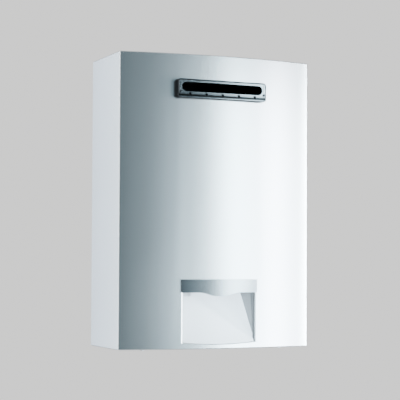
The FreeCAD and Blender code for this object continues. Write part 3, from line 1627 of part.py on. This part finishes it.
def make_circuit_board():
    """The circuit board with its transformer, relays, capacitors and plugs."""
    half_x = control_width / 2 - board_margin
    half_z = control_height / 2 - board_margin
    back = board_back_y()
    front = back - board_sheet
    board = box(control_x - half_x, control_x + half_x, front, back, control_centre_z - half_z,
                control_centre_z + half_z)
    pieces = [board]
    for across, up, width, height, depth in board_components:
        x = control_x + across * half_x
        z = control_centre_z + up * half_z
        reach_x = width * half_x
        reach_z = height * half_z
        pieces.append(box(x - reach_x, x + reach_x, front - depth * control_depth, front + board_sheet / 2,
                          z - reach_z, z + reach_z))
    return joined(pieces)


def make_control_brackets():
    """Two folded brackets between the back panel and the control unit."""
    sheet = control_bracket_sheet
    foot = control_bracket_foot
    half = control_bracket_width / 2
    rib_y = panel_front_y - panel_rib_depth
    brackets = []
    for side in (-1, 1):
        z = control_centre_z + side * (control_height / 2 - foot)
        tip = z + side * foot
        outline = [
            (rib_y, z), (-control_back, z), (-control_back, tip), (-control_back + sheet, tip),
            (-control_back + sheet, z + side * sheet), (rib_y - sheet, z + side * sheet),
            (rib_y - sheet, tip), (rib_y, tip),
        ]
        brackets.append(side_prism(outline, control_x - half, control_x + half))
    return group(brackets)


def make_igniter():
    """The spark unit on the left of the burner box."""
    x1 = -column_half
    y0 = column_front_y + 2 * column_sheet
    z1 = chamber_z - burner_below_rim
    body = box(x1 - igniter_width, x1, y0, y0 + igniter_depth, z1 - igniter_height, z1)
    return body.makeChamfer(3.0, [edge for edge in upright_edges(body) if edge.BoundBox.XMin < x1 - 1])


def make_igniter_leads():
    """The two high-voltage leads from the spark unit to the spark electrodes."""
    leads = []
    start_y = column_front_y + 2 * column_sheet
    end_y = column_front_y - electrode_outside_share * electrode_room()
    for index, x in enumerate(electrode_places()[:2]):
        start_x = -column_half - igniter_width + igniter_width * (index + 1) / 3
        start_z = chamber_z - burner_below_rim - igniter_lead_drop - igniter_lead_step * index
        front = end_y - igniter_lead_forward_share * electrode_room() - igniter_lead_step * index
        end_z = chamber_z + electrode_height
        points = [V(start_x, start_y, start_z), V(start_x, front, start_z), V(x, front, end_z),
                  V(x, end_y, end_z)]
        leads.append(tube(points, igniter_lead_radius, igniter_lead_bend, 6, 3))
    return group(leads)


def make_cable_gland():
    """The gland in the floor for the supply cable."""
    below = floor_z - gland_flange_height
    thread = faceted_rod(gland_thread_radius, V(gland_x, gland_y, below), AXIS_Z,
                         gland_flange_height + gland_thread_length)
    flange = hexagon(gland_across, V(gland_x, gland_y, below), AXIS_Z, gland_flange_height)
    cap = faceted_rod(gland_across / 2.4, V(gland_x, gland_y, below - gland_cap_height), AXIS_Z,
                      gland_cap_height, 12)
    nut = hexagon(gland_across, V(gland_x, gland_y, floor_z + floor_sheet), AXIS_Z, gland_flange_height)
    bore = faceted_rod(gland_bore_radius, V(gland_x, gland_y, below - gland_cap_height - 1), AXIS_Z,
                       2 * floor_recess)
    return joined([thread, flange, cap, nut]).cut(bore)


def make_column_bracket(z0, z1):
    """A hat-shaped bracket between the back panel and the column."""
    half = bracket_half_width
    sheet = bracket_sheet
    foot = half + bracket_foot
    wall = panel_front_y
    outline = [
        (-foot, wall), (-foot, wall - sheet), (-half, wall - sheet), (-half, column_back_y),
        (half, column_back_y), (half, wall - sheet), (foot, wall - sheet), (foot, wall),
        (half - sheet, wall), (half - sheet, column_back_y + sheet), (-half + sheet, column_back_y + sheet),
        (-half + sheet, wall),
    ]
    return polygon([V(x, y, z0) for x, y in outline], AXIS_Z * (z1 - z0))


def make_column_brackets():
    """The two brackets that carry the combustion column."""
    upper = tube_z - upper_bracket_height / 2
    lower = (column_foot + chamber_z) / 2 - lower_bracket_height / 2
    return group([make_column_bracket(upper, upper + upper_bracket_height),
                  make_column_bracket(lower, lower + lower_bracket_height)])


main_place, safety_place = solenoid_places()
strained_bore = drain_shaft_length + strainer_length + 1
plain_bore = drain_shaft_length + 1
sparks = electrode_places()

parts = {
    "front_cover": make_front_cover(),
    "cover_screws": make_cover_screws(),
    "back_panel": make_back_panel(),
    "wall_rails": group([make_wall_rail(wall_hole_pitch_z / 2), make_wall_rail(-wall_hole_pitch_z / 2)]),
    "bottom_plate": make_bottom_plate(),
    "air_scoop": make_air_scoop(),
    "scoop_bar": make_scoop_bar(),
    "bar_screws": make_bar_screws(),
    "flue_terminal": make_flue_terminal(),
    "flue_gasket": make_flue_gasket(),
    "terminal_screws": make_terminal_screws(),
    "column_brackets": make_column_brackets(),
    "burner_box": make_burner_box(),
    "burner_blades": make_burner_blades(),
    "gas_manifold": make_gas_manifold(),
    "gas_injectors": make_gas_injectors(),
    "combustion_chamber": make_combustion_chamber(),
    "spark_electrodes": group([make_electrode(x, spark_reach) for x in sparks[:2]]),
    "flame_sensor": make_electrode(sparks[2], flame_rod_reach),
    "chamber_coil": make_chamber_coil(),
    "exchanger_fins": make_exchanger_fins(),
    "exchanger_tubes": make_exchanger_tubes(),
    "exchanger_caps": make_exchanger_caps(),
    "flue_collector": make_flue_collector(),
    "fan_housing": make_fan_housing(),
    "fan_cover": make_fan_cover(),
    "fan_impeller": make_fan_impeller(),
    "fan_shaft": make_fan_shaft(),
    "fan_motor": make_fan_motor(),
    "gas_inlet": make_gas_inlet(),
    "gas_valve": make_gas_valve_body(),
    "shutoff_solenoids": group([make_solenoid(main_place, solenoid_side),
                                make_solenoid(safety_place, solenoid_side)]),
    "modulator_coil": make_solenoid(modulator_place(), modulator_side),
    "main_plunger": make_plunger(main_place),
    "safety_plunger": make_plunger(safety_place),
    "modulator_plunger": make_plunger(modulator_place()),
    "gas_pipe": make_gas_tube(),
    "pipe_seals": make_pipe_seals(),
    "cold_inlet": make_water_fitting(cold_x, water_y, strained_bore),
    "hot_outlet": make_water_fitting(hot_x, water_y, plain_bore),
    "cold_drain_plug": make_drain_plug(cold_x, water_y),
    "hot_drain_plug": make_drain_plug(hot_x, water_y),
    "cold_plug_washer": make_plug_washer(cold_x, water_y),
    "hot_plug_washer": make_plug_washer(hot_x, water_y),
    "inlet_strainer": make_inlet_strainer(),
    "flow_valve": make_flow_valve(),
    "flow_valve_spool": make_flow_valve_spool(),
    "flow_valve_motor": make_flow_valve_motor(),
    "flow_sensor": make_flow_sensor(),
    "flow_turbine": make_flow_turbine(),
    "hot_pipe": make_hot_pipe(),
    "outlet_thermistor": make_outlet_thermistor(),
    "overheat_thermostat": make_overheat_thermostat(),
    "control_box": make_control_box(),
    "control_lid": make_control_lid(),
    "circuit_board": make_circuit_board(),
    "control_brackets": make_control_brackets(),
    "igniter": make_igniter(),
    "igniter_leads": make_igniter_leads(),
    "cable_gland": make_cable_gland(),
}

os.makedirs("parts", exist_ok=True)
for name, shape in parts.items():
    shape.exportStep("parts/" + name + ".step")
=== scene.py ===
import json
import math
import bmesh
import bpy
from mathutils import Matrix, Quaternion, Vector

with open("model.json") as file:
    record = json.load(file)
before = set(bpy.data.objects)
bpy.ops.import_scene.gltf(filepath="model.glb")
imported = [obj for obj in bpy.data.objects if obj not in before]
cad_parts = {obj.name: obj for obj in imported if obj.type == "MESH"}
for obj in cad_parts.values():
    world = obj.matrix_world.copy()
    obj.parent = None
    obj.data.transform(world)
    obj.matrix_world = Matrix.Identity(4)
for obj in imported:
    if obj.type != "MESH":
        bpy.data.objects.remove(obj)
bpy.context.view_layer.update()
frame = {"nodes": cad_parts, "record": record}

mm = 0.001


# Node building

def ranged_value(tree, value, start, end, low, high):
    """A value that runs from low to high while another runs from start to end."""
    ranged = tree.nodes.new("ShaderNodeMapRange")
    for name, number in (("From Min", start), ("From Max", end), ("To Min", low), ("To Max", high)):
        ranged.inputs[name].default_value = number
    tree.links.new(value, ranged.inputs["Value"])
    return ranged.outputs[0]


def calculated(tree, operation, *values):
    """Values put through one arithmetic step."""
    step = tree.nodes.new("ShaderNodeMath")
    step.operation = operation
    for value, socket in zip(values, step.inputs):
        tree.links.new(value, socket)
    return step.outputs[0]


def coordinates(tree, output):
    """The three parts of a texture coordinate."""
    place = tree.nodes.new("ShaderNodeTexCoord")
    parts = tree.nodes.new("ShaderNodeSeparateXYZ")
    tree.links.new(place.outputs[output], parts.inputs[0])
    return parts.outputs


def by_coordinate(material, output, axis, start, end, low, high):
    """A value that runs from low to high along one axis of the object's place or of its normal."""
    tree = material.node_tree
    return ranged_value(tree, coordinates(tree, output)[axis], start, end, low, high)


# Materials

def new_material(name):
    """A node material with a Principled surface."""
    material = bpy.data.materials.new(name)
    material.use_nodes = True
    nodes = material.node_tree.nodes
    nodes.clear()
    out = nodes.new("ShaderNodeOutputMaterial")
    shader = nodes.new("ShaderNodeBsdfPrincipled")
    material.node_tree.links.new(shader.outputs[0], out.inputs[0])
    return material, shader


def noise(material, scale, detail, stretch):
    """A noise over the object's own coordinates, in metres, so its grain has a real size."""
    nodes, links = material.node_tree.nodes, material.node_tree.links
    place = nodes.new("ShaderNodeTexCoord")
    mapping = nodes.new("ShaderNodeMapping")
    mapping.inputs["Scale"].default_value = stretch
    texture = nodes.new("ShaderNodeTexNoise")
    texture.inputs["Scale"].default_value = scale
    texture.inputs["Detail"].default_value = detail
    links.new(place.outputs["Object"], mapping.inputs[0])
    links.new(mapping.outputs[0], texture.inputs["Vector"])
    return texture.outputs["Fac"]


noise_low, noise_high = 0.3, 0.7  # nearly all of a noise's values lie between these


def tinted(material, value, dark, light):
    """A colour between two, by a noise value."""
    ramp = material.node_tree.nodes.new("ShaderNodeValToRGB")
    for stop, place, colour in zip(ramp.color_ramp.elements, (noise_low, noise_high), (dark, light)):
        stop.position = place
        stop.color = (*colour, 1)
    material.node_tree.links.new(value, ramp.inputs[0])
    return ramp.outputs[0]


def bumped(material, shader, value, height):
    """A bump of some height in metres."""
    bump = material.node_tree.nodes.new("ShaderNodeBump")
    bump.inputs["Strength"].default_value = 1.0
    bump.inputs["Distance"].default_value = height
    material.node_tree.links.new(value, bump.inputs["Height"])
    material.node_tree.links.new(bump.outputs[0], shader.inputs["Normal"])


def surface(name, colour, spread, roughness, metallic=0.0, grain=900.0, height=0.00003,
            patch=18.0, stretch=(1, 1, 1), coat=0.0):
    """A surface with patchy colour, uneven roughness and a fine bump."""
    material, shader = new_material(name)
    links = material.node_tree.links
    dark = [channel * (1 - spread) for channel in colour]
    light = [min(channel * (1 + spread), 1) for channel in colour]
    patches = noise(material, patch, 5.0, stretch)
    links.new(tinted(material, patches, dark, light), shader.inputs["Base Color"])
    fine = noise(material, grain, 2.0, stretch)
    uneven = ranged_value(material.node_tree, fine, noise_low, noise_high, *roughness)
    links.new(uneven, shader.inputs["Roughness"])
    shader.inputs["Metallic"].default_value = metallic
    shader.inputs["Coat Weight"].default_value = coat
    shader.inputs["Coat Roughness"].default_value = 0.12
    bumped(material, shader, fine, height)
    return material


def scaled_colour(material, factor):
    """Multiplies a material's colour by a value."""
    nodes, links = material.node_tree.nodes, material.node_tree.links
    shader = next(node for node in nodes if node.type == "BSDF_PRINCIPLED")
    scaled = nodes.new("ShaderNodeVectorMath")
    scaled.operation = "SCALE"
    links.new(shader.inputs["Base Color"].links[0].from_socket, scaled.inputs[0])
    links.new(factor, scaled.inputs["Scale"])
    links.new(scaled.outputs[0], shader.inputs["Base Color"])


looks = {
    "white_enamel": surface("white_enamel", (0.84, 0.85, 0.85), 0.010, (0.235, 0.265), 0.96, grain=700,
                            height=0.000004, patch=5),
    "white_plastic": surface("white_plastic", (0.87, 0.88, 0.89), 0.010, (0.45, 0.55), grain=1800,
                             height=0.00002, patch=8),
    "silver_plastic": surface("silver_plastic", (0.37, 0.38, 0.39), 0.012, (0.16, 0.19), 1.0, grain=2500,
                              height=0.000002, patch=14),
    "galvanized_steel": surface("galvanized_steel", (0.60, 0.63, 0.65), 0.10, (0.32, 0.5), 0.9, grain=260,
                                height=0.00002, patch=60),
    "zinc_screws": surface("zinc_screws", (0.68, 0.69, 0.70), 0.06, (0.25, 0.4), 1.0, grain=1500),
    "black_screws": surface("black_screws", (0.02, 0.02, 0.022), 0.2, (0.35, 0.5), 0.6, grain=1500),
    "stainless_terminal": surface("stainless_terminal", (0.25, 0.26, 0.27), 0.03, (0.13, 0.16), 1.0,
                                  grain=1400, height=0.000003, patch=30, stretch=(0.04, 1, 1)),
    "stainless_burner": surface("stainless_burner", (0.46, 0.45, 0.42), 0.18, (0.3, 0.5), 1.0, grain=800,
                                patch=35),
    "black_rubber": surface("black_rubber", (0.010, 0.010, 0.011), 0.15, (0.75, 0.9), grain=1600,
                            height=0.00004, patch=40),
    "copper": surface("copper", (0.72, 0.36, 0.22), 0.16, (0.24, 0.42), 1.0, grain=500, patch=22),
    "cast_aluminium": surface("cast_aluminium", (0.60, 0.61, 0.62), 0.06, (0.42, 0.6), 0.9, grain=1500,
                              height=0.00008, patch=30),
    "flue_black": surface("flue_black", (0.012, 0.012, 0.013), 0.3, (0.6, 0.8), grain=900, patch=40),
    "brass": surface("brass", (0.72, 0.52, 0.22), 0.08, (0.22, 0.36), 1.0, grain=900, patch=30),
    "ceramic": surface("ceramic", (0.82, 0.80, 0.74), 0.03, (0.18, 0.3), grain=600, patch=30, coat=0.4),
    "fan_plastic": surface("fan_plastic", (0.56, 0.58, 0.60), 0.06, (0.3, 0.45), 0.9, grain=700, patch=30),
    "black_plastic": surface("black_plastic", (0.028, 0.028, 0.031), 0.15, (0.4, 0.55), grain=1800,
                             height=0.00003, patch=30),
    "solenoid_steel": surface("solenoid_steel", (0.42, 0.43, 0.45), 0.08, (0.32, 0.48), 0.9, grain=900,
                              patch=40),
    "grey_plastic": surface("grey_plastic", (0.33, 0.35, 0.37), 0.04, (0.42, 0.55), grain=1800,
                            height=0.00003, patch=30),
    "board_green": surface("board_green", (0.03, 0.16, 0.07), 0.25, (0.25, 0.4), grain=900, patch=160,
                           coat=0.3),
    "lead_sleeve": surface("lead_sleeve", (0.42, 0.07, 0.04), 0.08, (0.4, 0.55), grain=1500, patch=60),
}
enamel, plastic = looks["white_enamel"], looks["white_plastic"]
silver, stainless = looks["silver_plastic"], looks["stainless_terminal"]

# painted shade: the colour of the terminal's edges that look up is darkened
scaled_colour(stainless, by_coordinate(stainless, "Normal", "Z", 0.3, 0.6, 1.0, 0.06))

# painted shade: the bar's edges are darkened in its colour too, apart from those that look down
looks_ahead = by_coordinate(silver, "Normal", "Y", -0.80, -0.95, 0.10, 1.0)
looks_down = by_coordinate(silver, "Normal", "Z", -0.3, -0.6, 0.10, 1.0)
scaled_colour(silver, calculated(silver.node_tree, "MAXIMUM", looks_ahead, looks_down))

# painted shade: the recess's right wall, which looks left, is darkened in its colour
scaled_colour(plastic, by_coordinate(plastic, "Normal", "X", -0.50, -0.75, 1.0, 0.24))

# painted shade: the hood's lip in front of it is darkened in its colour as well; it looks left too, and
# lies 0 to 0.1 m right of the middle
looks_left = by_coordinate(enamel, "Normal", "X", -0.5, -0.8, 1.0, 0.13)
left_half = by_coordinate(enamel, "Object", "X", 0.01, 0.0, 0.0, 1.0)
far_right = by_coordinate(enamel, "Object", "X", 0.10, 0.11, 0.0, 1.0)
elsewhere = calculated(enamel.node_tree, "MAXIMUM", left_half, far_right)
scaled_colour(enamel, calculated(enamel.node_tree, "MAXIMUM", looks_left, elsewhere))

# painted shade in the fold above the terminal's ledge: its colour is darkened over the lowest 12 mm of its
# face
foot = min(corner.co.z for corner in frame["nodes"]["flue_terminal"].data.vertices)
up_the_face = by_coordinate(stainless, "Object", "Z", foot, foot + 12 * mm, 0, 1)
fold_shade = stainless.node_tree.nodes.new("ShaderNodeValToRGB")
stops = fold_shade.color_ramp.elements
stops[0].color = (1, 1, 1, 1)
for place, value in ((0.06, 0.75), (0.17, 0.15), (0.30, 0.04), (0.45, 0.04), (0.52, 0.5), (0.75, 0.65)):
    stops.new(place).color = (value, value, value, 1)
stainless.node_tree.links.new(up_the_face, fold_shade.inputs[0])
scaled_colour(stainless, fold_shade.outputs[0])

# and painted shade round its five drain notches, which lie 35 mm apart just above the fold
across = coordinates(stainless.node_tree, "Object")["X"]
from_notch = calculated(stainless.node_tree, "PINGPONG", across)
from_notch.node.inputs[1].default_value = 35 / 2 * mm
beside = ranged_value(stainless.node_tree, from_notch, 2.2 * mm, 3.4 * mm, 0.03, 1.0)
above = by_coordinate(stainless, "Object", "Z", foot + 9.0 * mm, foot + 10.5 * mm, 0, 1)
below = by_coordinate(stainless, "Object", "Z", foot + 5.5 * mm, foot + 4.5 * mm, 0, 1)
clear = calculated(stainless.node_tree, "MAXIMUM", above, below)
scaled_colour(stainless, calculated(stainless.node_tree, "MAXIMUM", clear, beside))

# painted shade: the bar's colour darkens towards its left end, over 55 mm
bar_left = min(corner.co.x for corner in frame["nodes"]["scoop_bar"].data.vertices)
scaled_colour(silver, by_coordinate(silver, "Object", "X", bar_left, bar_left + 55 * mm, 0.40, 1.0))


# Carried-over nodes

look_of = {part["node"]: part["material_slot"] for part in frame["record"]["subparts"]}
look_of["flue_collector"] = "flue_black"  # sooty, because the terminal's slot shows its inside
edge_width = {"scoop_bar": 0.9 * mm, "flue_terminal": 0.6 * mm}
smooth_below = math.radians(32)
smooth_below_bevelled = math.radians(18)


def finish_node(name, bevel):
    """A CAD node's material, its smooth shading and, where it has a bevel, its broken edges."""
    node = frame["nodes"][name]
    node.data.materials.clear()
    node.data.materials.append(looks[look_of[name]])
    weld = node.modifiers.new("weld", "WELD")
    weld.merge_threshold = 0.01 * mm
    if bevel:
        edge = node.modifiers.new("edge", "BEVEL")
        edge.width = bevel
        edge.segments = 1
        edge.limit_method = "ANGLE"
        edge.angle_limit = math.radians(40)
        edge.use_clamp_overlap = True
    for face in node.data.polygons:
        face.use_smooth = True
    split = node.modifiers.new("split", "EDGE_SPLIT")
    split.split_angle = smooth_below_bevelled if bevel else smooth_below
    if bevel:
        weights = node.modifiers.new("weights", "WEIGHTED_NORMAL")
        weights.weight = 90


for name in frame["nodes"]:
    finish_node(name, edge_width.get(name, 0.0))


# Stage

floor_height = -1.35
floor_radius = 4.0

floor_mesh = bpy.data.meshes.new("floor")
shape = bmesh.new()
bmesh.ops.create_circle(shape, cap_ends=True, segments=96, radius=floor_radius,
                        matrix=Matrix.Translation((0, 0, floor_height)))
shape.to_mesh(floor_mesh)
shape.free()
floor = bpy.data.objects.new("floor", floor_mesh)
bpy.context.collection.objects.link(floor)
floor_look = surface("floor_grey", (0.58, 0.58, 0.58), 0.01, (0.75, 0.85), grain=300, patch=2)
floor.data.materials.append(floor_look)
floor.visible_glossy = False

backdrop_grey = (1.18, 1.18, 1.17, 1)
dim, pale = (0.09, 0.13, 0.15, 1), (0.60, 0.66, 0.70, 1)

world = bpy.data.worlds.new("world")
bpy.context.scene.world = world
world.use_nodes = True
tree = world.node_tree
tree.nodes.clear()
out = tree.nodes.new("ShaderNodeOutputWorld")
shown = tree.nodes.new("ShaderNodeBackground")
shown.inputs[0].default_value = backdrop_grey
ambient = tree.nodes.new("ShaderNodeBackground")
path = tree.nodes.new("ShaderNodeLightPath")
mix = tree.nodes.new("ShaderNodeMixShader")

# the room is dim in front, where the casing mirrors the strips, and pale at the far left, behind,
# above and below
way = coordinates(tree, "Generated")
behind = ranged_value(tree, way["Y"], -0.20, 0.35, 0, 1)
far_left = ranged_value(tree, way["X"], -0.55, -0.90, 0, 1)
above_or_below = ranged_value(tree, calculated(tree, "ABSOLUTE", way["Z"]), 0.45, 0.80, 0, 1)
around = calculated(tree, "MAXIMUM", behind, far_left)
paleness = calculated(tree, "MAXIMUM", around, above_or_below)
room = tree.nodes.new("ShaderNodeValToRGB")
room.color_ramp.elements[0].color = dim
room.color_ramp.elements[1].color = pale
tree.links.new(paleness, room.inputs[0])
tree.links.new(room.outputs[0], ambient.inputs[0])
tree.links.new(path.outputs["Is Camera Ray"], mix.inputs[0])
tree.links.new(ambient.outputs[0], mix.inputs[1])
tree.links.new(shown.outputs[0], mix.inputs[2])
tree.links.new(mix.outputs[0], out.inputs[0])


# Light

def aimed(name, light, azimuth, elevation, distance, aim):
    """A light that looks at a place: azimuth 0 is in front of the heater, 90 on its right."""
    lamp = bpy.data.objects.new(name, light)
    bpy.context.collection.objects.link(lamp)
    a, e = math.radians(azimuth), math.radians(elevation)
    back = Vector((math.sin(a) * math.cos(e), -math.cos(a) * math.cos(e), math.sin(e)))
    lamp.location = Vector(aim) + back * distance
    lamp.rotation_mode = "QUATERNION"
    lamp.rotation_quaternion = back.to_track_quat("Z", "Y")
    return lamp


def soft_box(name, azimuth, width, height, power, colour, aim):
    """An upright soft box, 3 m away and level with what it looks at."""
    light = bpy.data.lights.new(name, "AREA")
    light.shape = "RECTANGLE"
    light.size = width
    light.size_y = height
    light.energy = power
    light.color = colour
    return aimed(name, light, azimuth, 0, 3.0, aim)


def snooted_lamp(name, azimuth, elevation, distance, angle, radius, power, colour, aim):
    """A lamp with a narrow cone and a soft edge."""
    light = bpy.data.lights.new(name, "SPOT")
    light.energy = power
    light.color = colour
    light.spot_size = math.radians(angle)
    light.spot_blend = 1.0
    light.shadow_soft_size = radius
    return aimed(name, light, azimuth, elevation, distance, aim)


middle = (0, -0.1, 0)
low = (0, -0.1, -0.375)
recess = (0.06, -0.15, -0.235)
soft_box("middle_strip", 13, 0.53, 2.05, 2.6, (0.62, 0.86, 1.0), low)
soft_box("near_strip", 28.5, 0.42, 2.05, 48, (0.68, 0.90, 1.0), low)
soft_box("right_strip", 41, 0.42, 2.05, 58, (0.80, 0.88, 1.0), low)
soft_box("far_strip", 60, 0.27, 2.05, 190, (0.81, 0.93, 1.0), low)
soft_box("left_box", -136, 0.60, 2.6, 64, (0.86, 0.97, 1.0), middle)
soft_box("rear_box", -155, 0.53, 2.6, 7, (0.60, 0.75, 1.0), middle)
recess_lamp = snooted_lamp("recess_lamp", -24, 16, 2.0, 7.8, 0.12, 1050, (0.70, 0.88, 1.0), recess)

# the bar throws no shadow into the recess
unshadowed = bpy.data.collections.new("recess_lamp_shadows")
unshadowed.objects.link(frame["nodes"]["scoop_bar"])
unshadowed.collection_objects[0].light_linking.link_state = "EXCLUDE"
recess_lamp.light_linking.blocker_collection = unshadowed


# Camera

camera_roll = math.radians(-0.265)

camera_data = bpy.data.cameras.new("camera")
camera = bpy.data.objects.new("camera", camera_data)
bpy.context.collection.objects.link(camera)
camera.location = (-1.0913, -2.6096, -0.1206)
look = Vector((0.3966, 0.9180, 0.0349))
camera.rotation_mode = "QUATERNION"
camera.rotation_quaternion = Quaternion(look, camera_roll) @ look.to_track_quat("-Z", "Y")
camera_data.lens = 121.1
camera_data.sensor_width = 36
camera_data.shift_y = 0.0393
bpy.context.scene.camera = camera
